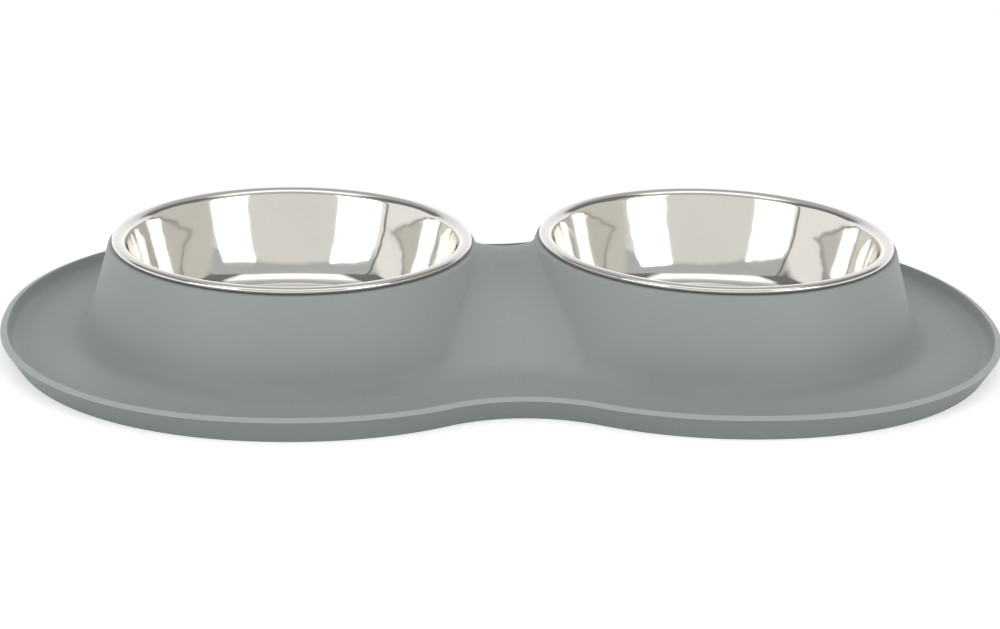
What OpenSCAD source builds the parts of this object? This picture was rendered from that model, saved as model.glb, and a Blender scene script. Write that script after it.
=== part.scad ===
/* [Bowls] */
// Outer diameter of a bowl's rolled rim
bowl_d = 140; // [132:0.5:150]
// Height of a bowl from the top of its rim to the underside of its floor
bowl_h = 37.5; // [26:0.5:40]
// Width of the rim from the mouth to the outer edge
rim_w = 5.5; // [4.8:0.1:8]
// Thickness of the steel sheet
steel_t = 0.6; // [0.4:0.1:0.8]
// Height of the rolled edge of the rim
roll_d = 2.4; // [1.8:0.1:2.8]
// Inner radius where the bowl's wall meets its floor
floor_bend_r = 12; // [6:0.5:18]
// Radius over which the bowl's mouth turns out into the rim
mouth_bend_r = 2; // [1.2:0.1:2.6]
// Lean of the upper wall from upright, in degrees
bowl_lean = 14.7; // [8:0.1:20]
// Height of the straight upper wall with the rim
straight_h = 13; // [6:0.5:18]
// Radius of the belly between the straight wall and the floor's bend
belly_r = 82; // [50:1:160]

/* [Collars] */
// Room between the rims of the two bowls
bowls_apart = 27; // [22:0.5:36]
// Room between the underside of a bowl and the table
under_gap = 3.9; // [2:0.1:8]
// How far a collar's top edge stands out past the bowl's rim
collar_reveal = 1.3; // [0.6:0.1:2.4]
// Lean of the collar's wall from upright, in degrees
collar_lean = 15.6; // [8:0.2:22]
// Radius on the collar's top edge
collar_edge_r = 1; // [0.4:0.1:1.5]
// Radius where a collar runs out into the tray
collar_foot_r = 10; // [4:0.5:14]
// Thickness of the silicone
silicone_t = 3; // [2:0.1:4]
// Room between a bowl's wall and the seat ring round it
well_gap = 0.6; // [0.4:0.1:1.5]
// Room between a rim's rolled edge and its seat
rim_gap = 0.3; // [0.1:0.05:0.6]

/* [Bridge between the collars] */
// Radius of the hollow between the collars, at table level
bridge_low_r = 48.5; // [42:0.5:56]
// Radius of the hollow between the collars, at seat level
bridge_high_r = 9.5; // [7:0.5:14]
// Half width of the rounding along the bridge's ridge
bridge_ridge_w = 7; // [2:0.5:10]

/* [Tray] */
// From a bowl's rim to the end of the tray
end_margin = 43.2; // [36:0.2:60]
// From a bowl's rim to the long side of the tray
side_margin = 47.4; // [38:0.2:60]
// How far the tray's waist is drawn in from its long side
waist_dip = 20.4; // [15:0.2:28]
// How square the outline round a bowl is: 2 is an ellipse
end_power = 2.14; // [2:0.01:2.3]
// Height of the tray's lip above the table
lip_h = 8.7; // [7:0.1:14]
// Width of the sloping top of the lip
lip_top_w = 2.9; // [2:0.1:4.5]
// Slope of the lip's top down to its outer edge, in degrees
lip_slope = 20; // [5:1:30]
// How far the base edge is set in under the lip along the long sides
lip_undercut = 1.2; // [0.5:0.1:3]
// How much further it is set in at the ends of the tray
lip_end_flare = 4; // [0:0.1:5]
// How much further it is set in at the waist
lip_waist_flare = 1.6; // [0:0.1:3]
// Lean of the lip's inner face from upright, in degrees
lip_lean = 20; // [5:1:40]
// Radius where the lip's inner face meets the tray floor
lip_foot_r = 4; // [1.5:0.5:6]

/* [Hidden] */
$fn = 96;
overrun = 1;
halvings = 20;
silicone_colour = [0.56, 0.6, 0.58];
steel_colour = [0.82, 0.82, 0.8];

// Heights that the stand and the bowls share
rim_top_z = under_gap + bowl_h;
bowl_floor_z = under_gap + steel_t;
seat_h = rim_top_z - roll_d - rim_gap;
tray_floor_z = silicone_t;
ledge_z = seat_h - silicone_t;

// The bowl's section, as radius and height
rim_r = bowl_d / 2;
roll_r = roll_d / 2;
mouth_r = rim_r - rim_w;
mouth_bend_x = mouth_r + mouth_bend_r;
mouth_bend_z = rim_top_z - mouth_bend_r;
mouth_end = [mouth_bend_x, mouth_bend_z] - mouth_bend_r * lean_way(bowl_lean);
belly_top = [mouth_end[0] - (mouth_end[1] - rim_top_z + straight_h) * tan(bowl_lean), rim_top_z - straight_h];
belly_centre = belly_top - belly_r * lean_way(bowl_lean);
floor_bend_z = bowl_floor_z + floor_bend_r;
floor_turn = asin((belly_centre[1] - floor_bend_z) / (belly_r - floor_bend_r));
floor_bend_x = belly_centre[0] + (belly_r - floor_bend_r) * cos(floor_turn);

// The collar's section: a leaning wall, a rounded top edge and a hollow foot
spacing_half = rim_r + bowls_apart / 2;
well_r = mouth_r + steel_t / cos(bowl_lean) + well_gap;
collar_top_r = rim_r + collar_reveal;
edge_z = seat_h - collar_edge_r;
edge_end_z = edge_z + collar_edge_r * sin(collar_lean);
edge_x = slope_r(edge_end_z) - collar_edge_r * cos(collar_lean);
foot_z = tray_floor_z + collar_foot_r;
foot_start_z = foot_z - collar_foot_r * sin(collar_lean);
foot_x = slope_r(foot_start_z) + collar_foot_r * cos(collar_lean);
wall_across = silicone_t / cos(collar_lean);

// The tray's outline: half a rounded square round each bowl, joined at the
// waist by arcs that curve in
end_reach = rim_r + end_margin;
side_reach = rim_r + side_margin;
waist_half = side_reach - waist_dip;
shoulder_turn = waist_touch(90, 180);
waist_r = waist_arc_r(shoulder_turn);
waist_turn = asin(-end_normal(shoulder_turn)[0]);
waist_y = waist_half + waist_r;

// The lip's section, as distance out from the outline and height
lip_face_run = (lip_h - tray_floor_z) * tan(lip_lean);
lip_foot_run = lip_foot_r * tan((90 - lip_lean) / 2);
lip_foot_out = -lip_top_w - lip_face_run - lip_foot_run;

// How finely the stand's skin is laid out
end_steps = 32;
shoulder_steps = 6;
waist_steps = 4;
bridge_steps = 22;
slope_steps = 4;
bend_steps = 5;
floor_steps = 3;
cavity_steps = 5;
lip_bend_steps = 3;
mouth_steps = 8;

// The way out of the bowl, square to a wall with a lean
function lean_way(lean) = [cos(lean), -sin(lean)];

// Radius of the collar's outer wall at a height
function slope_r(z) = collar_top_r + (seat_h - z) * tan(collar_lean);

// Radius of the collar at a height, with its rounded edge and its foot
function collar_r(z) =
    z > edge_end_z ? edge_x + sqrt(max(pow(collar_edge_r, 2) - pow(z - edge_z, 2), 0)) :
    z > foot_start_z ? slope_r(z) :
    foot_x - sqrt(max(pow(collar_foot_r, 2) - pow(foot_z - z, 2), 0));

// Radius of the hollow between the collars at a height
function bridge_r(z) = bridge_low_r + (bridge_high_r - bridge_low_r) * z / seat_h;

// True where a point lies within a collar of radius r, or within the fillet
// of radius f that joins the two collars
function in_hill(x, y, r, f) =
    let(across = spacing_half - abs(x), reach = r + f)
    norm([across, y]) < r ||
    (reach > spacing_half && abs(x) < f * spacing_half / reach &&
        ridge_y(y) < sqrt(pow(reach, 2) - pow(spacing_half, 2)) - sqrt(pow(f, 2) - pow(x, 2)));
function ridge_y(y) = abs(y) + bridge_ridge_w * exp(-abs(y) / bridge_ridge_w);

// Height of the outer skin over a point, between the tray floor and the seat
function skin_z(x, y, low = tray_floor_z, high = seat_h, n = halvings) =
    let(z = (low + high) / 2)
    n == 0 ? z :
    in_hill(x, y, collar_r(z), bridge_r(z)) ? skin_z(x, y, z, high, n - 1) :
    skin_z(x, y, low, z, n - 1);

// Height of the hollow underside over a point, between the table and the ledge
function under_z(x, y, low = 0, high = ledge_z, n = halvings) =
    let(z = (low + high) / 2)
    n == 0 ? z :
    in_hill(x, y, slope_r(z) - wall_across, bridge_r(z) + wall_across) ? under_z(x, y, z, high, n - 1) :
    under_z(x, y, low, z, n - 1);
function cavity_z(x, y) = max(min(under_z(x, y), skin_z(x, y) - silicone_t), 0);

// Radius along a ray from the bowl's axis at which the hollow underside ends
function cavity_end_r(turn, low, high, n = halvings) =
    let(r = (low + high) / 2, p = ray(turn, r))
    n == 0 ? r :
    in_hill(p[0], p[1], slope_r(0) - wall_across, bridge_low_r + wall_across) ?
        cavity_end_r(turn, r, high, n - 1) :
        cavity_end_r(turn, low, r, n - 1);
function ray(turn, r) = [spacing_half + r * cos(turn), r * sin(turn)];

// A point of the outline round the right bowl, and the way out of it there
function rounded(v, power) = sign(v) * pow(abs(v), power);
function end_point(turn) = [
    spacing_half + end_reach * rounded(cos(turn), 2 / end_power),
    side_reach * rounded(sin(turn), 2 / end_power)
];
function end_normal(turn) =
    let(n = [
        rounded(cos(turn), 2 - 2 / end_power) / end_reach,
        rounded(sin(turn), 2 - 2 / end_power) / side_reach
    ])
    n / norm(n);

// Radius of the arc that touches the outline at a turn and has its centre on
// the plane between the bowls, and the turn where it passes through the waist
function waist_arc_r(turn) = end_point(turn)[0] / abs(end_normal(turn)[0]);
function waist_touch(low, high, n = halvings) =
    let(turn = (low + high) / 2, p = end_point(turn))
    n == 0 ? turn :
    p[0] > 0 && p[1] - waist_arc_r(turn) * (1 - end_normal(turn)[1]) > waist_half ?
        waist_touch(turn, high, n - 1) :
        waist_touch(low, turn, n - 1);

// Stations round the right half of the tray, each a point and the way out
end_turns = concat(
    [for (i = [0 : shoulder_steps - 1]) -shoulder_turn + (shoulder_turn - 90) * i / shoulder_steps],
    [for (i = [0 : end_steps]) 90 * (2 * i / end_steps - 1)],
    [for (i = [1 : shoulder_steps]) 90 + (shoulder_turn - 90) * i / shoulder_steps]
);
stations = concat(
    [for (i = [0 : waist_steps - 1]) waist_station(-1, waist_turn * i / waist_steps)],
    [for (turn = end_turns) [end_point(turn), end_normal(turn)]],
    [for (i = [waist_steps - 1 : -1 : 0]) waist_station(1, waist_turn * i / waist_steps)]
);
function waist_station(side, turn) =
    let(way = [-sin(turn), side * cos(turn)])
    [[0, side * waist_y] - waist_r * way, way];
function rail(s, out) = s[0] + out * s[1];

// Where each ray from the right bowl's axis ends: first on the stations, then
// on the plane between the two bowls
bridge_end_y = waist_half + lip_foot_out;
outer_count = len(stations);
ray_count = outer_count + bridge_steps - 1;
ray_ends = concat(
    [for (s = stations) rail(s, lip_foot_out)],
    [for (i = [1 : bridge_steps - 1]) [0, bridge_end_y * cos(180 * i / bridge_steps)]]
);
function ray_turn(e) = atan2(e[1], e[0] - spacing_half);
function ray_len(e) = norm([e[0] - spacing_half, e[1]]);

// The skin's points along a ray: over the seat, down the collar and its foot,
// then on to the end of the ray
function slope_stops() = concat(
    [well_r - overrun, edge_x],
    [for (i = [1 : 2]) edge_x + collar_edge_r * sin((90 - collar_lean) * i / 2)],
    [for (i = [1 : slope_steps])
        slope_r(edge_end_z + (foot_start_z - edge_end_z) * i / slope_steps)],
    [for (i = [1 : bend_steps])
        foot_x - collar_foot_r * sin((90 - collar_lean) * (1 - i / bend_steps))]
);
function skin_stops(reach) =
    let(stops = slope_stops(),
        squeeze = min(1, bridge_share * (reach - collar_top_r) / (foot_x - collar_top_r)),
        last = collar_top_r + (foot_x - collar_top_r) * squeeze)
    concat(
        [for (r = stops) r < collar_top_r ? r : collar_top_r + (r - collar_top_r) * squeeze],
        [for (i = [1 : floor_steps]) last + (reach - last) * i / floor_steps]
    );
bridge_share = 0.75;
function skin_points(e) =
    let(turn = ray_turn(e))
    [for (r = skin_stops(ray_len(e))) let(p = ray(turn, r))
        [abs(p[0]) < tiny ? 0 : p[0], p[1], r <= edge_x ? seat_h : skin_z(p[0], p[1])]];

// The lip's points over one station, from its inner face to its outer edge
function lip_points(s) = concat(
    [for (i = [1 : lip_bend_steps])
        let(turn = (90 - lip_lean) * i / lip_bend_steps)
        lip_point(s, lip_foot_out + lip_foot_r * sin(turn), tray_floor_z + lip_foot_r * (1 - cos(turn)))],
    [lip_point(s, -lip_top_w, lip_h), lip_point(s, 0, lip_h - lip_top_w * tan(lip_slope))]
);
function lip_point(s, out, z) = let(p = rail(s, out)) [abs(p[0]) < tiny ? 0 : p[0], p[1], z];
tiny = silicone_t / 10000;

// How far the base edge is set in under the lip's outer edge: the outer wall
// flares most at the ends, and a little at the waist
flare_power = 1.25;
function undercut(s) =
    lip_undercut + (s[0][0] > spacing_half ?
        lip_end_flare * pow(abs(s[1][0]), flare_power) :
        lip_waist_flare * (1 + cos(180 * s[0][0] / spacing_half)) / 2);

// The underside's points along a ray, from its far end back to the seat ring
function under_points(i) =
    let(e = ray_ends[i],
        turn = ray_turn(e),
        reach = ray_len(e),
        stop = cavity_end_r(turn, well_r, reach),
        ledge_r = slope_r(ledge_z) - wall_across,
        low = i < outer_count ? base_point(stations[i]) : [0, e[1], cavity_z(0, e[1])])
    concat(
        [low],
        [for (j = [cavity_steps : -1 : 1])
            under_point(turn, ledge_r + (stop - ledge_r) * j / cavity_steps, j == cavity_steps && stop < reach - tiny)],
        [under_point(turn, ledge_r, false), under_point(turn, well_r - overrun, false)]
    );
function base_point(s) = lip_point(s, -undercut(s), 0);
function under_point(turn, r, at_table) =
    let(p = ray(turn, r))
    [abs(p[0]) < tiny ? 0 : p[0], p[1], at_table ? 0 : r < well_r ? ledge_z : cavity_z(p[0], p[1])];

skin_count = len(slope_stops()) + floor_steps;
lip_count = lip_bend_steps + 2;
under_count = cavity_steps + 3;
section_count = skin_count + lip_count + under_count;
sections = [for (i = [0 : ray_count - 1]) concat(
    skin_points(ray_ends[i]),
    i < outer_count ? lip_points(stations[i]) : [for (j = [1 : lip_count]) [0, 0, 0]],
    under_points(i)
)];

// A point on the plane between the bowls belongs to both halves, and a
// doubled one on the underside is counted once
function first_under(i, k) =
    k == skin_count + lip_count + 1 && i >= outer_count && sections[i][k][0] == 0 ? k - 1 : k;
function index(side, i, k) =
    let(turn = i % ray_count, stop = first_under(turn, k))
    (sections[turn][stop][0] == 0 ? 0 : side * ray_count * section_count) + turn * section_count + stop;

// Two triangles between neighbouring sections, left out where they shrink to
// nothing
function patch(side, i, k, next) =
    let(a = index(side, i, k), b = index(side, i + 1, k), c = index(side, i + 1, next), d = index(side, i, next))
    concat(
        a != b && b != c && c != a ? [side == 0 ? [a, b, c] : [c, b, a]] : [],
        a != c && c != d && d != a ? [side == 0 ? [a, c, d] : [d, c, a]] : []
    );
function has_patch(i, k) =
    k < skin_count - 1 || k >= skin_count + lip_count || i < outer_count - 1;

module stand_skin() {
    points = [for (side = [1, -1]) for (s = sections) for (p = s) [side * p[0], p[1], p[2]]];
    faces = [for (side = [0, 1]) for (i = [0 : ray_count - 1]) for (k = [0 : section_count - 1])
        if (has_patch(i, k)) each patch(side, i, k, (k + 1) % section_count)];
    polyhedron(points, faces, convexity = 8);
}

// Moves its children from the origin onto one bowl's axis
module at_bowl(side) {
    translate([side * spacing_half, 0, 0]) children();
}

module silicone_stand() {
    color(silicone_colour) difference() {
        stand_skin();
        for (side = [-1, 1])
            at_bowl(side) translate([0, 0, -overrun]) cylinder(r = well_r, h = seat_h + 2 * overrun);
    }
}

// The bowl's section inside the sheet, grown by grow to give the outside
module bowl_hollow(grow) {
    low = belly_centre + (belly_r + grow) * lean_way(floor_turn);
    top = belly_centre + (belly_r + grow) * lean_way(bowl_lean);
    far = (belly_r + grow + overrun) / cos((floor_turn - bowl_lean) / 2);
    polygon([
        [0, bowl_floor_z - grow],
        [floor_bend_x, bowl_floor_z - grow],
        low,
        top,
        mouth_end + grow * lean_way(bowl_lean),
        [mouth_end[0] + grow / cos(bowl_lean), rim_top_z],
        [0, rim_top_z]
    ]);
    translate([floor_bend_x, floor_bend_z]) circle(r = floor_bend_r + grow);
    intersection() {
        translate(belly_centre) circle(r = belly_r + grow);
        polygon([low, belly_centre + far * lean_way(floor_turn), belly_centre + far * lean_way(bowl_lean), top]);
    }
}

// The sheet at the mouth's bend, where the wall turns out into the rim
module mouth_bend() {
    polygon(concat(
        [for (i = [0 : mouth_steps])
            [mouth_bend_x, mouth_bend_z]
                - (mouth_bend_r - steel_t) * lean_way(bowl_lean + (90 - bowl_lean) * i / mouth_steps)],
        [[mouth_end[0], rim_top_z]]
    ));
}

// The space over the mouth's bend
module mouth_flare() {
    difference() {
        polygon([
            mouth_end,
            [mouth_bend_x, rim_top_z],
            [mouth_bend_x, rim_top_z + overrun],
            [0, rim_top_z + overrun],
            [0, mouth_end[1]]
        ]);
        translate([mouth_bend_x, mouth_bend_z]) circle(r = mouth_bend_r);
    }
}

// The rolled edge: a half curl that carries on from the rim
module rolled_edge() {
    translate([rim_r - roll_r, rim_top_z - roll_r]) difference() {
        circle(r = roll_r);
        circle(r = roll_r - steel_t);
        translate([-roll_r - overrun, -roll_r - overrun])
            square([roll_r + overrun, 2 * roll_r + overrun - steel_t]);
    }
}

module bowl_section() {
    difference() {
        union() {
            bowl_hollow(steel_t);
            mouth_bend();
            translate([mouth_end[0], rim_top_z - steel_t]) square([rim_r - roll_r - mouth_end[0], steel_t]);
        }
        bowl_hollow(0);
        mouth_flare();
    }
    rolled_edge();
}

module bowl(side) {
    color(steel_colour) at_bowl(side) rotate_extrude() bowl_section();
}

module left_bowl() {
    bowl(-1);
}

module right_bowl() {
    bowl(1);
}

silicone_stand();
left_bowl();
right_bowl();
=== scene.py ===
import math
import bpy
import numpy as np
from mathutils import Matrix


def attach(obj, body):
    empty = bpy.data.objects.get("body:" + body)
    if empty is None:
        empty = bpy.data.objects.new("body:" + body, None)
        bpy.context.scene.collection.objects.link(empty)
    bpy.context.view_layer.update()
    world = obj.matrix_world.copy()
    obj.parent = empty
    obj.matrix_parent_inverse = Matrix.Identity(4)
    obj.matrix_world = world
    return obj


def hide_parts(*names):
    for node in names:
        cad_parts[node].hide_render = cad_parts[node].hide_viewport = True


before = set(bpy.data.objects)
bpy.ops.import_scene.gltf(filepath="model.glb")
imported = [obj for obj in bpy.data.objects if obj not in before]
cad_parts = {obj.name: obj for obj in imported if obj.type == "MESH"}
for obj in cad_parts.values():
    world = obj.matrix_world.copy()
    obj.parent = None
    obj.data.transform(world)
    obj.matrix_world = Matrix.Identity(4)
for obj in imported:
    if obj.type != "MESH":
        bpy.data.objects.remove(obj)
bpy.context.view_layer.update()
print("frame loaded:", ", ".join(sorted(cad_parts)))

mm = 0.001
snap = 1e-5  # millimetres that count as nothing


def wayOut(lean):  # square to a wall that leans, away from the bowl's axis
    return np.array([math.cos(lean), -math.sin(lean)])


def arc(centre, radius, startDeg, endDeg, steps, height=None):  # with a height, part of an ellipse
    turns = np.radians(np.linspace(startDeg, endDeg, steps + 1))
    return [(centre[0] + radius * math.cos(t), centre[1] + (height or radius) * math.sin(t)) for t in turns]


def straight(start, end, count):  # points between two ends that are left out
    shares = np.linspace(0, 1, count + 2)[1:-1]
    return [tuple(np.add(start, np.subtract(end, start) * share)) for share in shares]


def roundedCorner(before, corner, after, radius, steps):
    a = np.subtract(before, corner); a = a / np.linalg.norm(a)
    b = np.subtract(after, corner); b = b / np.linalg.norm(b)
    half = math.acos(float(np.clip(np.dot(a, b), -1, 1))) / 2
    reach = radius / math.tan(half)
    centre = np.add(corner, (a + b) / np.linalg.norm(a + b) * radius / math.sin(half))
    start = np.add(corner, a * reach) - centre
    end = np.add(corner, b * reach) - centre
    points = []
    for i in range(steps + 1):
        mix = start * (1 - i / steps) + end * (i / steps)
        points.append(tuple(centre + mix / np.linalg.norm(mix) * radius))
    return points


def halve(low, high, isLow, rounds=30):  # closes in on the place where isLow stops being true
    for _ in range(rounds):
        middle = (low + high) / 2
        inside = isLow(middle)
        low, high = np.where(inside, middle, low), np.where(inside, high, middle)
    return (low + high) / 2


def meshObject(name, points, faces, body, material, replaced):
    mesh = bpy.data.meshes.new(name)
    mesh.from_pydata([tuple(p) for p in points], [], faces)
    mesh.validate()
    mesh.shade_smooth()
    piece = bpy.data.objects.new(name, mesh)
    bpy.context.collection.objects.link(piece)
    mesh.materials.append(material)
    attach(piece, body)
    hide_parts(replaced)
    return piece


def evenNormals(piece):
    soft = piece.modifiers.new("even normals", "WEIGHTED_NORMAL")
    soft.weight = 100  # large faces lead
    soft.keep_sharp = True


# Small helpers for shader nodes

def link(tree, value, socket):  # value is another node's output, a number or a colour
    if isinstance(value, bpy.types.NodeSocket):
        tree.links.new(value, socket)
    else:
        socket.default_value = (*value, 1) if socket.type == "RGBA" else value


def mathNode(tree, operation, *values):
    node = tree.nodes.new("ShaderNodeMath"); node.operation = operation
    for value, socket in zip(values, node.inputs):
        link(tree, value, socket)
    return node.outputs[0]


def noiseNode(tree, detail, roughness):
    noise = tree.nodes.new("ShaderNodeTexNoise")
    noise.inputs["Detail"].default_value = detail
    noise.inputs["Roughness"].default_value = roughness
    return noise


def mapValue(tree, value, start, end, low=0, high=1):  # low up to start, high from end on
    spread = tree.nodes.new("ShaderNodeMapRange")
    for label, number in (("From Min", start), ("From Max", end), ("To Min", low), ("To Max", high)):
        spread.inputs[label].default_value = number
    link(tree, value, spread.inputs["Value"])
    return spread.outputs["Result"]


def mixColours(tree, factor, first, second, blend="MIX"):
    mix = tree.nodes.new("ShaderNodeMix"); mix.data_type = "RGBA"; mix.blend_type = blend
    link(tree, factor, mix.inputs["Factor"])
    link(tree, first, mix.inputs["A"])
    link(tree, second, mix.inputs["B"])
    return mix.outputs["Result"]


def colourRamp(tree, place, stops):  # each stop is a place from 0 to 1 and a colour
    ramp = tree.nodes.new("ShaderNodeValToRGB")
    link(tree, place, ramp.inputs[0])
    marks = ramp.color_ramp.elements
    marks.remove(marks[-1])
    for i, (position, colour) in enumerate(stops):
        mark = marks[0] if i == 0 else marks.new(position)
        mark.position = position
        mark.color = (*colour, 1)
    return ramp.outputs["Color"]


def addBump(tree, height, strength, distance, below=None):
    bump = tree.nodes.new("ShaderNodeBump")
    bump.inputs["Strength"].default_value = strength
    bump.inputs["Distance"].default_value = distance
    link(tree, height, bump.inputs["Height"])
    if below is not None:
        link(tree, below, bump.inputs["Normal"])
    return bump.outputs["Normal"]


def newMaterial(name):
    material = bpy.data.materials.new(name)
    material.use_nodes = True
    tree = material.node_tree
    return material, tree, tree.nodes["Principled BSDF"]


# Shader effects that more than one finish uses

def newGroup(name, inputs, outputs):
    group = bpy.data.node_groups.new(name, "ShaderNodeTree")
    for label, kind, value in inputs:
        socket = group.interface.new_socket(name=label, in_out="INPUT", socket_type=kind)
        socket.default_value = value
    for label, kind in outputs:
        group.interface.new_socket(name=label, in_out="OUTPUT", socket_type=kind)
    return group, group.nodes.new("NodeGroupInput"), group.nodes.new("NodeGroupOutput")


def buildDrift():  # slow change of tone over the surface, from 0 to 1
    inputs = [("Size", "NodeSocketFloat", 0.05), ("Contrast", "NodeSocketFloat", 1.0)]
    group, enter, leave = newGroup("slowDrift", inputs, [("Drift", "NodeSocketFloat")])
    coord = group.nodes.new("ShaderNodeTexCoord")
    noise = noiseNode(group, detail=2, roughness=0.5)
    link(group, coord.outputs["Object"], noise.inputs["Vector"])
    link(group, mathNode(group, "DIVIDE", 1, enter.outputs["Size"]), noise.inputs["Scale"])
    fromMiddle = mathNode(group, "SUBTRACT", noise.outputs["Fac"], 0.5)
    drift = mathNode(group, "MULTIPLY_ADD", fromMiddle, enter.outputs["Contrast"], 0.5)
    link(group, drift, leave.inputs["Drift"])
    return group


def buildGrain():  # fine grain as a height from 0 to 1
    inputs = [("Grain Size", "NodeSocketFloat", 0.0004), ("Stretch", "NodeSocketVector", (1, 1, 1))]
    group, enter, leave = newGroup("fineGrain", inputs, [("Height", "NodeSocketFloat")])
    coord = group.nodes.new("ShaderNodeTexCoord")
    stretch = group.nodes.new("ShaderNodeVectorMath"); stretch.operation = "MULTIPLY"
    noise = noiseNode(group, detail=3, roughness=0.6)
    link(group, coord.outputs["Object"], stretch.inputs[0])
    link(group, enter.outputs["Stretch"], stretch.inputs[1])
    link(group, stretch.outputs[0], noise.inputs["Vector"])
    link(group, mathNode(group, "DIVIDE", 1, enter.outputs["Grain Size"]), noise.inputs["Scale"])
    link(group, noise.outputs["Fac"], leave.inputs["Height"])
    return group


slowDrift = buildDrift()
fineGrain = buildGrain()


def placeGroup(tree, group, **values):
    node = tree.nodes.new("ShaderNodeGroup")
    node.node_tree = group
    for label, value in values.items():
        node.inputs[label.replace("_", " ")].default_value = value
    return node


# The bowls' sizes, in millimetres; the stand and its painted crease shade work from them too

bowlSize = {
    "diameter": 140,
    "height": 37.5,
    "rimWidth": 5.8,
    "sheet": 0.6,
    "rollHeight": 2.4,
    "crownWidth": 2.2,
    "floorBend": 12,
    "mouthBend": 3.5,
    "lean": math.radians(14.7),
    "straightHeight": 13,
    "belly": 82,
    "apart": 27,
    "underGap": 3.9,
    "segments": 288,
    "rings": {  # how finely each stretch of the outline is divided
        "floor": 12, "bend": 24, "belly": 24, "wall": 8, "mouth": 18, "flange": 1, "crown": 24, "roll": 14,
        "rollInside": 12, "underRim": 1, "outerMouth": 8, "outerWall": 6, "outerBelly": 18, "outerBend": 16,
    },
}

rimRadius = bowlSize["diameter"] / 2
rimTop = bowlSize["underGap"] + bowlSize["height"]
bowlAxis = rimRadius + bowlSize["apart"] / 2
mouthRadius = rimRadius - bowlSize["rimWidth"]


# Moulded silicone: matt, a little satin, with the fine grain of its mould, and painted shade in the crease round each
# collar's foot

siliconeFinish = {
    "colour": (0.346, 0.378, 0.374),
    "warmerColour": (0.356, 0.386, 0.380),
    # lighter colour of the lip's top: a painted highlight
    "lipHighlightColour": (0.435, 0.472, 0.462),
    # darker colour of the lip's outer wall: painted shade
    "lipWallShadeColour": (0.215, 0.243, 0.233),
    "roughness": (0.50, 0.60),
    "specular": 0.5,
    "sheen": 0.15,
    "sheenRoughness": 0.4,
    "driftSize": 0.06,
    "driftContrast": 1.6,
    "grainSize": 0.0005,
    "grainDepth": 0.00002,
    "grainStrength": 0.4,
    # painted crease shade, faded out towards the middle of the bridge between these distances
    "paintedShadeFade": (22, 50),  # millimetres from the middle of the bridge
    "paintedShadeRings": [  # millimetres from a bowl's axis, and the painted shade there
        (71.3, 0.94), (74.3, 0.925), (76.5, 0.90), (77.6, 0.87), (78.8, 0.82), (80, 0.79),
        (82, 0.79), (83.5, 0.82), (85, 0.89), (86.5, 0.97), (88, 1.0),
    ],
}


def paintedCreaseShade(tree, finish, colour):  # painted shade: a little darker in the crease round each collar's foot
    coord = tree.nodes.new("ShaderNodeTexCoord")
    split = tree.nodes.new("ShaderNodeSeparateXYZ")
    link(tree, coord.outputs["Object"], split.inputs[0])
    fromMiddle = mathNode(tree, "ABSOLUTE", split.outputs["X"])
    across = mathNode(tree, "SUBTRACT", fromMiddle, bowlAxis * mm)
    squares = [mathNode(tree, "MULTIPLY", side, side) for side in (across, split.outputs["Y"])]
    reach = mathNode(tree, "SQRT", mathNode(tree, "ADD", *squares))
    first, last = finish["paintedShadeRings"][0][0], finish["paintedShadeRings"][-1][0]
    stops = [((radius - first) / (last - first), (shade,) * 3) for radius, shade in finish["paintedShadeRings"]]
    rings = colourRamp(tree, mapValue(tree, reach, first * mm, last * mm), stops)
    offBridge = mapValue(tree, fromMiddle, *(edge * mm for edge in finish["paintedShadeFade"]))
    shade = mixColours(tree, offBridge, (1, 1, 1), rings)
    return mixColours(tree, 1, colour, shade, "MULTIPLY")


def buildSilicone(finish, name, colour, warmerColour, withPaintedCreaseShade=False):
    material, tree, skin = newMaterial(name)
    drift = placeGroup(tree, slowDrift, Size=finish["driftSize"], Contrast=finish["driftContrast"])
    grain = placeGroup(tree, fineGrain, Grain_Size=finish["grainSize"])
    base = mixColours(tree, drift.outputs["Drift"], colour, warmerColour)
    link(tree, paintedCreaseShade(tree, finish, base) if withPaintedCreaseShade else base, skin.inputs["Base Color"])
    link(tree, mapValue(tree, drift.outputs["Drift"], 0, 1, *finish["roughness"]), skin.inputs["Roughness"])
    skin.inputs["Specular IOR Level"].default_value = finish["specular"]
    skin.inputs["Sheen Weight"].default_value = finish["sheen"]
    skin.inputs["Sheen Roughness"].default_value = finish["sheenRoughness"]
    grainy = addBump(tree, grain.outputs["Height"], finish["grainStrength"], finish["grainDepth"])
    link(tree, grainy, skin.inputs["Normal"])
    return material


# Polished stainless steel: a mirror with faint wipe marks and the slight waves of pressed sheet

steelFinish = {
    "colour": (0.80, 0.785, 0.755),
    "darkerColour": (0.765, 0.75, 0.72),
    "roughness": (0.055, 0.09),
    "driftSize": 0.03,
    "driftContrast": 1.6,
    "waveSize": 0.014,
    "waveContrast": 1.0,
    "waveDepth": 0.00022,
    "waveStrength": 0.5,
    "wipeSize": 0.0006,
    "wipeStretch": (0.08, 1, 1),
    "wipeDepth": 0.000002,
    "wipeStrength": 0.25,
}


def buildSteel(finish):
    material, tree, skin = newMaterial("polished_steel")
    drift = placeGroup(tree, slowDrift, Size=finish["driftSize"], Contrast=finish["driftContrast"])
    waves = placeGroup(tree, slowDrift, Size=finish["waveSize"], Contrast=finish["waveContrast"])
    wipes = placeGroup(tree, fineGrain, Grain_Size=finish["wipeSize"], Stretch=finish["wipeStretch"])
    skin.inputs["Metallic"].default_value = 1
    base = mixColours(tree, drift.outputs["Drift"], finish["darkerColour"], finish["colour"])
    link(tree, base, skin.inputs["Base Color"])
    link(tree, mapValue(tree, wipes.outputs["Height"], 0, 1, *finish["roughness"]), skin.inputs["Roughness"])
    wavy = addBump(tree, waves.outputs["Drift"], finish["waveStrength"], finish["waveDepth"])
    wiped = addBump(tree, wipes.outputs["Height"], finish["wipeStrength"], finish["wipeDepth"], wavy)
    link(tree, wiped, skin.inputs["Normal"])
    return material


# the stand's silicone has painted shade in the crease round each collar's foot
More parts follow.
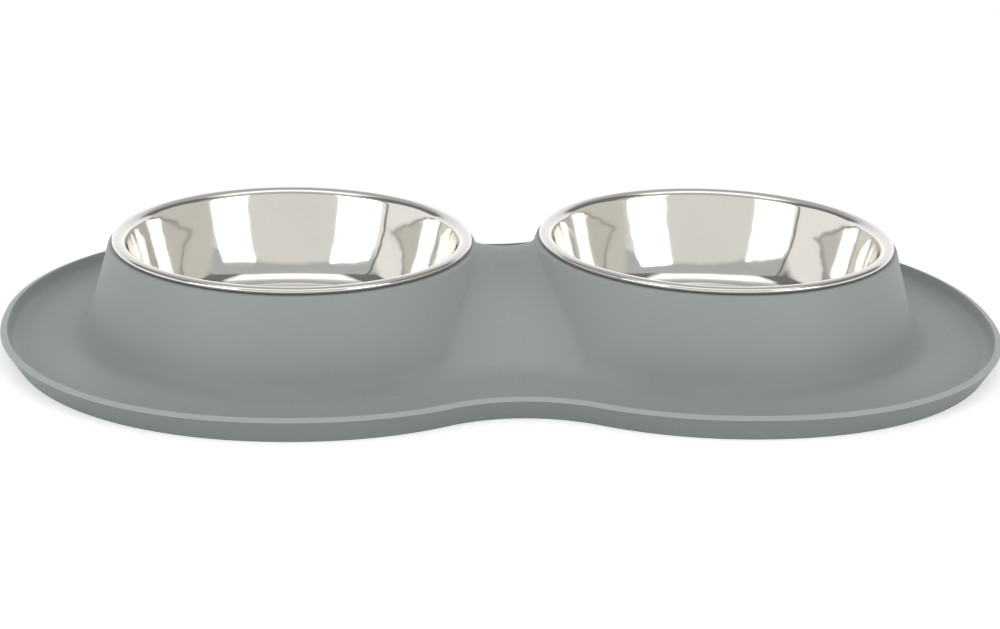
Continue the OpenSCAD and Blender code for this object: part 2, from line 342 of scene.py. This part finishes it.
siliconeMaterial = buildSilicone(
    siliconeFinish, "moulded_silicone", siliconeFinish["colour"], siliconeFinish["warmerColour"], withPaintedCreaseShade=True)
# a lighter copy of the silicone for the lip's top: a painted highlight
lipHighlightMaterial = buildSilicone(
    siliconeFinish, "painted_highlight_silicone", siliconeFinish["lipHighlightColour"], siliconeFinish["lipHighlightColour"])
# a darker copy of the silicone for the lip's outer wall: painted shade
lipWallShadeMaterial = buildSilicone(
    siliconeFinish, "painted_shade_silicone", siliconeFinish["lipWallShadeColour"], siliconeFinish["lipWallShadeColour"])
steelMaterial = buildSteel(steelFinish)
print("finishes ready")


def bowlProfile(size):  # inside height, outline from the floor's middle over the rim and back, height below
    sheet, lean, belly, bend, mouth = (size[label] for label in ("sheet", "lean", "belly", "floorBend", "mouthBend"))
    rings = size["rings"]
    leanDeg = math.degrees(lean)
    mouthCentre = np.array([mouthRadius + mouth, rimTop - mouth])
    mouthEnd = mouthCentre - mouth * wayOut(lean)
    bellyTopZ = rimTop - size["straightHeight"]
    bellyTop = np.array([mouthEnd[0] - (mouthEnd[1] - bellyTopZ) * math.tan(lean), bellyTopZ])
    bellyCentre = bellyTop - belly * wayOut(lean)
    insideZ = size["underGap"] + sheet
    bendZ = insideZ + bend
    turn = math.asin((bellyCentre[1] - bendZ) / (belly - bend))
    turnDeg = math.degrees(turn)
    bendCentre = (bellyCentre[0] + (belly - bend) * math.cos(turn), bendZ)

    def floorLine(z):  # the flat floor, in rings
        return straight((0, z), (bendCentre[0], z), rings["floor"])

    inside = floorLine(insideZ)
    inside += arc(bendCentre, bend, -90, -turnDeg, rings["bend"])
    inside += arc(bellyCentre, belly, -turnDeg, -leanDeg, rings["belly"])[1:]
    inside += straight(bellyTop, mouthEnd, rings["wall"])
    inside += arc(mouthCentre, mouth, 180 - leanDeg, 90, rings["mouth"])

    # The rim's top curves down to its outer edge in a quarter of an ellipse, and then rolls under
    roll = size["rollHeight"] / 2
    rollCentre = (rimRadius - roll, rimTop - roll)
    crownX = rimRadius - size["crownWidth"]
    rim = straight((mouthCentre[0], rimTop), (crownX, rimTop), rings["flange"])
    rim += arc((crownX, rollCentre[1]), size["crownWidth"], 90, 0, rings["crown"], height=roll)
    rim += arc(rollCentre, roll, 0, -90, rings["roll"])[1:]
    rim += arc(rollCentre, roll - sheet, -90, 90, rings["rollInside"])

    outerTop = bellyCentre + (belly + sheet) * wayOut(lean)
    underRim = rimTop - sheet
    outerX = outerTop[0] + (underRim - outerTop[1]) * math.tan(lean)
    corner = roundedCorner(rim[-1], (outerX, underRim), outerTop, mouth - sheet, rings["outerMouth"])
    outside = straight(rim[-1], corner[0], rings["underRim"]) + corner
    outside += straight(corner[-1], outerTop, rings["outerWall"])
    outside += arc(bellyCentre, belly + sheet, -leanDeg, -turnDeg, rings["outerBelly"])
    outside += arc(bendCentre, bend + sheet, -turnDeg, -90, rings["outerBend"])[1:]
    outside += floorLine(insideZ - sheet)[::-1]
    return insideZ, inside + rim + outside, insideZ - sheet


def buildBowl(name, side, body, replaced):
    insideZ, profile, underZ = bowlProfile(bowlSize)
    count = bowlSize["segments"]
    turns = 2 * np.pi * np.arange(count) / count
    points = []
    for radius, z in profile:
        points += [((side * bowlAxis + radius * math.cos(t)) * mm, radius * math.sin(t) * mm, z * mm) for t in turns]
    faces = []
    last = len(points) - count
    for a in range(0, last, count):
        b = a + count
        faces += [(b + i, b + (i + 1) % count, a + (i + 1) % count, a + i) for i in range(count)]
    middle = len(points)
    points += [(side * bowlAxis * mm, 0, z * mm) for z in (insideZ, underZ)]
    for i in range(count):
        j = (i + 1) % count
        faces += [(i, j, middle), (last + j, last + i, middle + 1)]
    return meshObject(name, points, faces, body, steelMaterial, replaced)


buildBowl("left_bowl_pressing", -1, "left_bowl", "left_bowl")
buildBowl("right_bowl_pressing", 1, "right_bowl", "right_bowl")
print("bowls turned")


# The stand, in millimetres: one skin over both collars, the bridge and the lipped tray

standSize = {
    "seatDrop": 2.7,
    "wellRadius": 65.72,
    "reveal": 1.3,
    "collarLean": math.radians(15.6),
    "collarEdge": 1,
    "collarFoot": 8,
    "thickness": 3,
    "bridgeLow": 48.5,
    "bridgeHigh": 9.5,
    "ridgeWidth": 7,
    "endMargin": 43.2,
    "sideMargin": 47.4,
    "waistDip": 20.4,
    "endPower": 2.14,
    "lipHeight": 8.7,
    "lipTop": 2.9,
    "lipSlope": math.radians(20),
    "lipUndercut": 1.2,
    "lipEndFlare": 4,
    "lipEndPower": 1.25,
    "lipWaistFlare": 1.6,
    "lipLean": math.radians(20),
    "lipFoot": 4,
    "lipInnerEdge": 0.5,
    "lipOuterEdge": 0.3,
    "baseEdge": 0.3,
    "slopeShare": 0.75,  # of the way from a collar's top to the lip, the most that its slope may take
    "seamMerge": 0.02,
    "endRays": 150,
    "shoulderRays": 24,
    "waistRays": 16,
    "bridgeRays": 110,
    "rings": {  # how finely each stretch from a well to the base edge is divided
        "ledge": 4, "collarEdge": 6, "slope": 16, "collarFoot": 14, "floor": 14, "under": 18,
        "lipFoot": 12, "lipEdge": 6, "lipTop": 1, "lipWall": 3, "baseEdge": 4,
    },
}

seatZ = rimTop - standSize["seatDrop"]
floorZ = standSize["thickness"]
ledgeZ = seatZ - standSize["thickness"]
wellRadius = standSize["wellRadius"]
collarTop = rimRadius + standSize["reveal"]
collarTan = math.tan(standSize["collarLean"])
edgeZ = seatZ - standSize["collarEdge"]
edgeEndZ = edgeZ + standSize["collarEdge"] * math.sin(standSize["collarLean"])
edgeX = collarTop + (seatZ - edgeEndZ) * collarTan - standSize["collarEdge"] * math.cos(standSize["collarLean"])
footZ = floorZ + standSize["collarFoot"]
footStartZ = footZ - standSize["collarFoot"] * math.sin(standSize["collarLean"])
footX = collarTop + (seatZ - footStartZ) * collarTan + standSize["collarFoot"] * math.cos(standSize["collarLean"])
wallAcross = standSize["thickness"] / math.cos(standSize["collarLean"])
endReach = rimRadius + standSize["endMargin"]
sideReach = rimRadius + standSize["sideMargin"]
waistHalf = sideReach - standSize["waistDip"]
lipRun = (standSize["lipHeight"] - floorZ) * math.tan(standSize["lipLean"])
lipFootRun = standSize["lipFoot"] * math.tan((math.pi / 2 - standSize["lipLean"]) / 2)
footOut = -standSize["lipTop"] - lipRun - lipFootRun  # where the tray's floor ends, out from the outline


def slopeRadius(z):
    return collarTop + (seatZ - z) * collarTan


def collarRadius(z):  # rounded top edge, leaning wall, hollow foot
    edge = edgeX + np.sqrt(np.maximum(standSize["collarEdge"] ** 2 - (z - edgeZ) ** 2, 0))
    foot = footX - np.sqrt(np.maximum(standSize["collarFoot"] ** 2 - (footZ - z) ** 2, 0))
    return np.where(z > edgeEndZ, edge, np.where(z > footStartZ, slopeRadius(z), foot))


def bridgeRadius(z):
    return standSize["bridgeLow"] + (standSize["bridgeHigh"] - standSize["bridgeLow"]) * z / seatZ


def inHill(x, y, r, f):  # inside a collar of radius r, or the bridge, whose sides are hollows of radius f
    reach = r + f
    ridge = np.abs(y) + standSize["ridgeWidth"] * np.exp(-np.abs(y) / standSize["ridgeWidth"])
    inCollar = np.hypot(bowlAxis - np.abs(x), y) < r
    hollow = np.sqrt(np.maximum(reach ** 2 - bowlAxis ** 2, 0)) - np.sqrt(np.maximum(f ** 2 - x ** 2, 0))
    return inCollar | ((reach > bowlAxis) & (np.abs(x) < f * bowlAxis / reach) & (ridge < hollow))


def hillHeight(x, y, low, high, radius, bridge):  # height of a skin, between low and high
    lows, highs = (np.full(np.shape(x), float(height)) for height in (low, high))
    return halve(lows, highs, lambda z: inHill(x, y, radius(z), bridge(z)))


def skinHeight(x, y):
    return hillHeight(x, y, floorZ, seatZ, collarRadius, bridgeRadius)


def cavityHeight(x, y):  # the hollow under the skin
    under = hillHeight(x, y, 0, ledgeZ, lambda z: slopeRadius(z) - wallAcross, lambda z: bridgeRadius(z) + wallAcross)
    return np.maximum(np.minimum(under, skinHeight(x, y) - standSize["thickness"]), 0)


def bulge(value, power):
    return math.copysign(abs(value) ** power, value)


def outlinePoint(turn):  # a point on a rounded end of the tray, and the way out from it
    share = 2 / standSize["endPower"]
    c, s = math.cos(turn), math.sin(turn)
    point = np.array([bowlAxis + endReach * bulge(c, share), sideReach * bulge(s, share)])
    way = np.array([bulge(c, 2 - share) / endReach, bulge(s, 2 - share) / sideReach])
    return point, way / np.linalg.norm(way)


def trayStations():  # points round the right half of the tray, each with its way out
    def beforeWaist(turn):  # a waist arc that starts here stays outside the waist
        point, way = outlinePoint(turn)
        return point[0] > 0 and point[1] - point[0] / abs(way[0]) * (1 - way[1]) > waistHalf

    last = float(halve(math.pi / 2, math.pi, beforeWaist, rounds=40))
    point, way = outlinePoint(last)
    waistRadius = point[0] / abs(way[0])
    waistTurn = math.asin(-way[0])
    waistY = waistHalf + waistRadius

    def waistStation(side, t):
        out = np.array([-math.sin(t), side * math.cos(t)])
        return np.array([0, side * waistY]) - waistRadius * out, out

    rays = standSize["waistRays"]
    front = [waistStation(-1, waistTurn * i / rays) for i in range(rays)]
    back = [waistStation(1, waistTurn * i / rays) for i in range(rays - 1, -1, -1)]
    shoulder = np.linspace(math.pi / 2, last, standSize["shoulderRays"] + 1)[1:]
    end = np.linspace(-math.pi / 2, math.pi / 2, standSize["endRays"] + 1)
    return front + [outlinePoint(t) for t in (*-shoulder[::-1], *end, *shoulder)] + back


def undercut(point, way):  # the base edge lies furthest in at the ends, and a little at the waist
    if point[0] > bowlAxis:
        return standSize["lipUndercut"] + standSize["lipEndFlare"] * abs(way[0]) ** standSize["lipEndPower"]
    return standSize["lipUndercut"] + standSize["lipWaistFlare"] * (1 + math.cos(math.pi * point[0] / bowlAxis)) / 2


def lipProfile(baseIn):  # distance out and height, from the tray's floor to the base edge, and where the lip's top is
    size, rings = standSize, standSize["rings"]
    innerTop = (-size["lipTop"], size["lipHeight"])
    outerTop = (0, size["lipHeight"] - size["lipTop"] * math.tan(size["lipSlope"]))
    base = (-baseIn, 0)
    underBase = (-baseIn - size["thickness"], 0)
    halfEdge = rings["lipEdge"] // 2 + 1
    footCentre = (footOut, floorZ + size["lipFoot"])
    profile = arc(footCentre, size["lipFoot"], -90, -math.degrees(size["lipLean"]), rings["lipFoot"])[1:]
    topStart = len(profile) + halfEdge
    profile += roundedCorner(profile[-1], innerTop, outerTop, size["lipInnerEdge"], rings["lipEdge"])
    profile += straight(innerTop, outerTop, rings["lipTop"])
    profile += roundedCorner(innerTop, outerTop, base, size["lipOuterEdge"], rings["lipEdge"])
    topEnd = len(profile) - halfEdge
    profile += straight(outerTop, base, rings["lipWall"])
    profile += roundedCorner(outerTop, base, underBase, size["baseEdge"], rings["baseEdge"])
    return profile, topStart, topEnd


def slopeStops():  # distances from a bowl's axis, over the ledge, the collar's edge, its wall and its foot
    quarter = math.pi / 2 - standSize["collarLean"]
    ledge, edge, slope, foot = (
        np.linspace(0, 1, standSize["rings"][label] + 1) for label in ("ledge", "collarEdge", "slope", "collarFoot"))
    return np.concatenate([
        wellRadius + (edgeX - wellRadius) * ledge,
        edgeX + standSize["collarEdge"] * np.sin(quarter * edge[1:]),
        slopeRadius(edgeEndZ + (footStartZ - edgeEndZ) * slope[1:]),
        footX - standSize["collarFoot"] * np.sin(quarter * (1 - foot[1:])),
    ])


def alongRays(ways, radii):  # places at distances from the bowl's axis
    x, y = bowlAxis + radii * ways[:, :1], radii * ways[:, 1:]
    x[np.abs(x) < snap] = 0
    return x, y


def skinPoints(ways, reach):  # from the well over the collar to the tray's edge or the middle of the bridge
    stops = slopeStops()[None, :]
    squeeze = np.minimum(1, standSize["slopeShare"] * (reach - collarTop) / (footX - collarTop))
    last = collarTop + (footX - collarTop) * squeeze
    slope = np.where(stops < collarTop, stops, collarTop + (stops - collarTop) * squeeze[:, None])
    flat = last[:, None] + (reach - last)[:, None] * np.linspace(0, 1, standSize["rings"]["floor"] + 1)[None, 1:]
    radii = np.hstack([slope, flat])
    x, y = alongRays(ways, radii)
    return np.stack([x, y, np.where(radii <= edgeX + snap, seatZ, skinHeight(x, y))], -1)


def underPoints(ways, reach):  # the hollow's skin, from the base plane up to the ledge and into the well
    ledgeRadius = slopeRadius(ledgeZ) - wallAcross

    def underHill(radii):
        x, y = bowlAxis + radii * ways[:, 0], radii * ways[:, 1]
        return inHill(x, y, slopeRadius(0) - wallAcross, standSize["bridgeLow"] + wallAcross)

    hollowEnd = halve(np.full(len(reach), wellRadius), reach, underHill)
    shares = np.linspace(1, 0, standSize["rings"]["under"] + 1)
    radii = ledgeRadius + (hollowEnd - ledgeRadius)[:, None] * shares[None, :]
    radii = np.hstack([radii, np.full((len(reach), 1), wellRadius)])
    x, y = alongRays(ways, radii)
    z = np.where(radii < ledgeRadius, ledgeZ, cavityHeight(x, y))
    z[hollowEnd < reach - snap, 0] = 0
    return np.stack([x, y, z], -1)


def strip(first, second):
    return [(first[k], second[k], second[k + 1], first[k + 1]) for k in range(len(first) - 1)]


def buildStand():
    stations = trayStations()
    lips = [lipProfile(undercut(point, way)) for point, way in stations]
    bridgeEnd, bridgeRays = waistHalf + footOut, standSize["bridgeRays"]
    ends = [point + way * footOut for point, way in stations]
    ends += [np.array([0, bridgeEnd * math.cos(math.pi * i / bridgeRays)]) for i in range(1, bridgeRays)]
    ways = np.array(ends) - [bowlAxis, 0]
    reach = np.linalg.norm(ways, axis=1)
    ways = ways / reach[:, None]
    skin, under = skinPoints(ways, reach), underPoints(ways, reach)

    points, rows = [], []

    def addRow(places):
        points.extend(tuple(place) for place in places)
        return list(range(len(points) - len(places), len(points)))

    for i in range(len(ends)):
        skinRow, lipRow = addRow(skin[i]), []
        if i < len(stations):
            point, way = stations[i]
            lipRow = addRow([(*(point + way * out), height) for out, height in lips[i][0]])
        rows.append((skinRow, lipRow, addRow(under[i])))

    faces, highlightFaces, shadeFaces = [], [], []  # highlight faces are the lip's top, with a painted highlight; shade faces its outer wall, with painted shade
    _, topStart, topEnd = lips[0]  # the same at every station
    for (skinA, lipA, underA), (skinB, lipB, underB) in zip(rows, rows[1:] + rows[:1]):
        faces += strip(skinA, skinB)
        faces += strip(underA, underB)
        faces += [(underA[-1], underB[-1], skinB[0], skinA[0])]
        if lipA and lipB:
            highlightFaces += range(len(faces) + topStart + 1, len(faces) + topEnd + 1)
            shadeFaces += range(len(faces) + topEnd + 1, len(faces) + len(lipA) + 1)
            faces += strip([skinA[-1]] + lipA + [underA[0]], [skinB[-1]] + lipB + [underB[0]])
    points = np.array(points)
    points[np.abs(points[:, 0]) < snap, 0] = 0
    piece = meshObject("stand_skin", points * mm, faces, "stand", siliconeMaterial, "silicone_stand")
    # the lip's top takes the lighter copy as a painted highlight, its outer wall the darker copy as painted shade
    for index, (material, marked) in enumerate(((lipHighlightMaterial, highlightFaces), (lipWallShadeMaterial, shadeFaces)), 1):
        piece.data.materials.append(material)
        for k in marked:
            piece.data.polygons[k].material_index = index
    mirror = piece.modifiers.new("other half", "MIRROR")
    mirror.use_clip = True
    mirror.merge_threshold = standSize["seamMerge"] * mm
    return piece


standSkin = buildStand()
evenNormals(standSkin)
print("stand skinned:", len(standSkin.data.vertices), "points in its right half")


# The studio: a pale floor, two upright softboxes, one overhead and a soft room

studio = {
    "floorColour": (0.90, 0.90, 0.90),
    "floorShade": 0.985,
    "floorDrift": 0.8,
    "floorContrast": 1.0,
    "floorRoughness": 0.9,
    "floorSpecular": 0.1,
    "floorLift": 0.42,
    "floorHalf": 4.0,
    "softboxes": {
        "leftSoftbox": {
            "place": (-1.534, -1.070, 0.54), "turn": (90, 0, -16.6), "width": 1.305, "height": 1.04, "glow": 1.9,
        },
        "rightSoftbox": {
            "place": (1.263, -1.142, 0.54), "turn": (90, 0, 19.8), "width": 0.968, "height": 1.04, "glow": 2.0,
        },
        "overheadSoftbox": {
            "place": (0, -0.17, 1.2), "turn": (0, 0, 0), "width": 1.5, "height": 0.52, "glow": 0.55,
        },
    },
    "roomBands": [  # degrees from the front horizon over the top (90) to the back horizon (180), and the colour
        (0, (0.82, 0.81, 0.77)), (36, (0.82, 0.81, 0.77)), (38, (0.50, 0.52, 0.51)), (68, (0.54, 0.55, 0.54)),
        (74, (0.85, 0.85, 0.85)), (94, (0.90, 0.90, 0.90)), (100, (0.58, 0.58, 0.58)), (112, (0.48, 0.48, 0.48)),
        (138, (0.48, 0.48, 0.48)), (148, (0.80, 0.80, 0.80)), (156, (0.95, 0.95, 0.96)), (172, (1.10, 1.10, 1.11)),
        (180, (1.4, 1.4, 1.4)),
    ],
    "ceilingShade": (0.20, 0.20, 0.20),
    "ceilingStart": (63, 69),  # degrees between which the ceiling's dark sides come in from the front
    "ceilingEnd": (150, 142),  # the same from the back
    "ceilingSides": (0.50, 0.56),  # the same from the middle, as a share of the way to the side
    "postShade": (0.12, 0.12, 0.12),
    "postAzimuth": -71.2,
    "postHalf": 0.9,
    "postTop": 0.6,
    "roomLeft": (0.98, 0.97, 0.92),
    "roomRight": (0.68, 0.66, 0.60),
    "roomSides": (0.85, 0.89),  # where the room's left and right colours come in, as the same share
    "glossyBounces": 8,
    "allBounces": 12,
}


def buildFloor():
    half = studio["floorHalf"]
    mesh = bpy.data.meshes.new("studio_floor")
    mesh.from_pydata([(-half, -half, 0), (half, -half, 0), (half, half, 0), (-half, half, 0)], [], [(0, 1, 2, 3)])
    floor = bpy.data.objects.new("studio_floor", mesh)
    bpy.context.collection.objects.link(floor)
    material, tree, paper = newMaterial("pale_paper")
    drift = placeGroup(tree, slowDrift, Size=studio["floorDrift"], Contrast=studio["floorContrast"])
    shade = tuple(c * studio["floorShade"] for c in studio["floorColour"])
    link(tree, mixColours(tree, drift.outputs["Drift"], shade, studio["floorColour"]), paper.inputs["Base Color"])
    paper.inputs["Roughness"].default_value = studio["floorRoughness"]
    paper.inputs["Specular IOR Level"].default_value = studio["floorSpecular"]
    path = tree.nodes.new("ShaderNodeLightPath")
    seen = mathNode(tree, "MAXIMUM", path.outputs["Is Camera Ray"], path.outputs["Is Glossy Ray"])
    seen = mathNode(tree, "MAXIMUM", seen, path.outputs["Is Transmission Ray"])
    paper.inputs["Emission Color"].default_value = (1, 1, 1, 1)
    link(tree, mathNode(tree, "MULTIPLY", seen, studio["floorLift"]), paper.inputs["Emission Strength"])
    mesh.materials.append(material)


def buildSoftboxes():
    for name, box in studio["softboxes"].items():
        lamp = bpy.data.lights.new(name, "AREA")
        lamp.shape = "RECTANGLE"
        lamp.size, lamp.size_y = box["width"], box["height"]
        lamp.energy = math.pi * box["width"] * box["height"] * box["glow"]
        holder = bpy.data.objects.new(name, lamp)
        holder.location = box["place"]
        holder.rotation_euler = [math.radians(a) for a in box["turn"]]
        bpy.context.collection.objects.link(holder)


def buildRoom():
    world = bpy.data.worlds.new("studio_room")
    bpy.context.scene.world = world
    world.use_nodes = True
    tree = world.node_tree
    coord = tree.nodes.new("ShaderNodeTexCoord")
    split = tree.nodes.new("ShaderNodeSeparateXYZ")
    link(tree, coord.outputs["Generated"], split.inputs[0])
    across, along, up = split.outputs
    toFront = mathNode(tree, "MULTIPLY", along, -1)
    sideways = mathNode(tree, "ABSOLUTE", across)

    over = mathNode(tree, "ARCTAN2", mathNode(tree, "MAXIMUM", up, 0), toFront)
    bands = [(degrees / 180, colour) for degrees, colour in studio["roomBands"]]
    room = colourRamp(tree, mathNode(tree, "DIVIDE", over, math.pi), bands)

    start = mapValue(tree, over, *(math.radians(a) for a in studio["ceilingStart"]))
    end = mapValue(tree, over, *(math.radians(a) for a in studio["ceilingEnd"]))
    aside = mapValue(tree, sideways, *studio["ceilingSides"])
    ceiling = mathNode(tree, "MULTIPLY", mathNode(tree, "MULTIPLY", start, end), aside)
    room = mixColours(tree, ceiling, room, studio["ceilingShade"])

    sides = mixColours(tree, mathNode(tree, "GREATER_THAN", across, 0), studio["roomLeft"], studio["roomRight"])
    room = mixColours(tree, mapValue(tree, sideways, *studio["roomSides"]), room, sides)

    azimuth = mathNode(tree, "ARCTAN2", across, toFront)
    fromPost = mathNode(tree, "ABSOLUTE", mathNode(tree, "SUBTRACT", azimuth, math.radians(studio["postAzimuth"])))
    inPost = mathNode(tree, "LESS_THAN", fromPost, math.radians(studio["postHalf"]))
    underTop = mathNode(tree, "LESS_THAN", up, studio["postTop"])
    room = mixColours(tree, mathNode(tree, "MULTIPLY", inPost, underTop), room, studio["postShade"])
    link(tree, room, tree.nodes["Background"].inputs["Color"])


view = {
    "place": (-0.07743, -0.89759, 0.31053),
    "turn": (71.4286, -1.4013, -4.3653),
    "lens": 85.975,
    "sensorWidth": 36,
}


def buildCamera():
    lens = bpy.data.cameras.new("camera")
    lens.lens = view["lens"]
    lens.sensor_width = view["sensorWidth"]
    camera = bpy.data.objects.new("camera", lens)
    camera.location = view["place"]
    camera.rotation_euler = [math.radians(a) for a in view["turn"]]
    bpy.context.collection.objects.link(camera)
    bpy.context.scene.camera = camera


buildFloor()
buildSoftboxes()
buildRoom()
buildCamera()
bpy.context.scene.view_settings.view_transform = "Standard"
bpy.context.scene.cycles.glossy_bounces = studio["glossyBounces"]
bpy.context.scene.cycles.max_bounces = studio["allBounces"]
print("studio lit")
